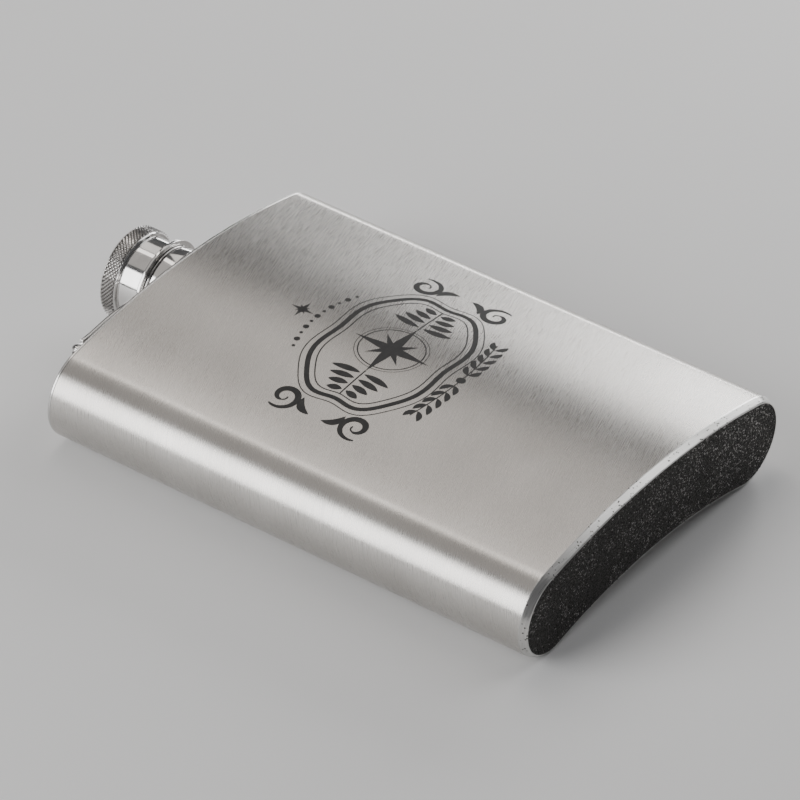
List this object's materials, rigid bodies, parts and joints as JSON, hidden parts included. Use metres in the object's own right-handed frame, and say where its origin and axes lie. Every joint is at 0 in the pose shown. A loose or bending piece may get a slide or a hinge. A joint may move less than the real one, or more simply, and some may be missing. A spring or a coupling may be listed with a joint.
{
  "type": "hip flask",
  "caption": "Pocket flask in brushed stainless steel, with a curved kidney section, a threaded neck and a knurled screw cap held captive on a hinged swing arm.",
  "frame": {"origin": "middle of the flask's length and width, at the level the two side lobes of its curved back rest on", "axes": "+Y from the base to the cap, +Z out through the convex front, +X to the right seen from the front; the arm's hinge is on the -X side"},
  "size_m": [0.095, 0.139, 0.026],
  "materials": {
    "brushed_body": "brushed across the width",
    "ground_rim": "weld ground flush and brushed",
    "base_finish": "coarse blasted",
    "polished_steel": "polished",
    "gasket_rubber": "matt silicone"
  },
  "bodies": {
    "flask": {"body_wall": "brushed_body", "side_seam_bead": "brushed_body", "base_weld_rim": "ground_rim", "top_weld_rim": "ground_rim", "base_plate": "base_finish", "top_plate": "polished_steel", "neck_spout": "polished_steel", "neck_collar": "polished_steel", "neck_weld_bead": "polished_steel", "bracket_weld_beads": "polished_steel", "hinge_bracket": "polished_steel", "hinge_pin": "polished_steel"},
    "arm": {"swing_arm": "polished_steel"},
    "cap": {"cap_shell": "polished_steel", "cap_insert": "polished_steel", "cap_retainer": "polished_steel", "cap_gasket": "gasket_rubber"}
  },
  "joints": [
    {"name": "arm_swing", "type": "hinge", "parent": "flask", "child": "arm", "pos_m": [-0.0334, 0.0571, 0.01495], "axis": [0, 0, 1], "range_deg": [0, 125]},
    {"name": "cap_turn", "type": "hinge", "parent": "arm", "child": "cap", "pos_m": [0, 0.0645, 0.01495], "axis": [0, 1, 0], "range_deg": [0, 540]}
  ]
}
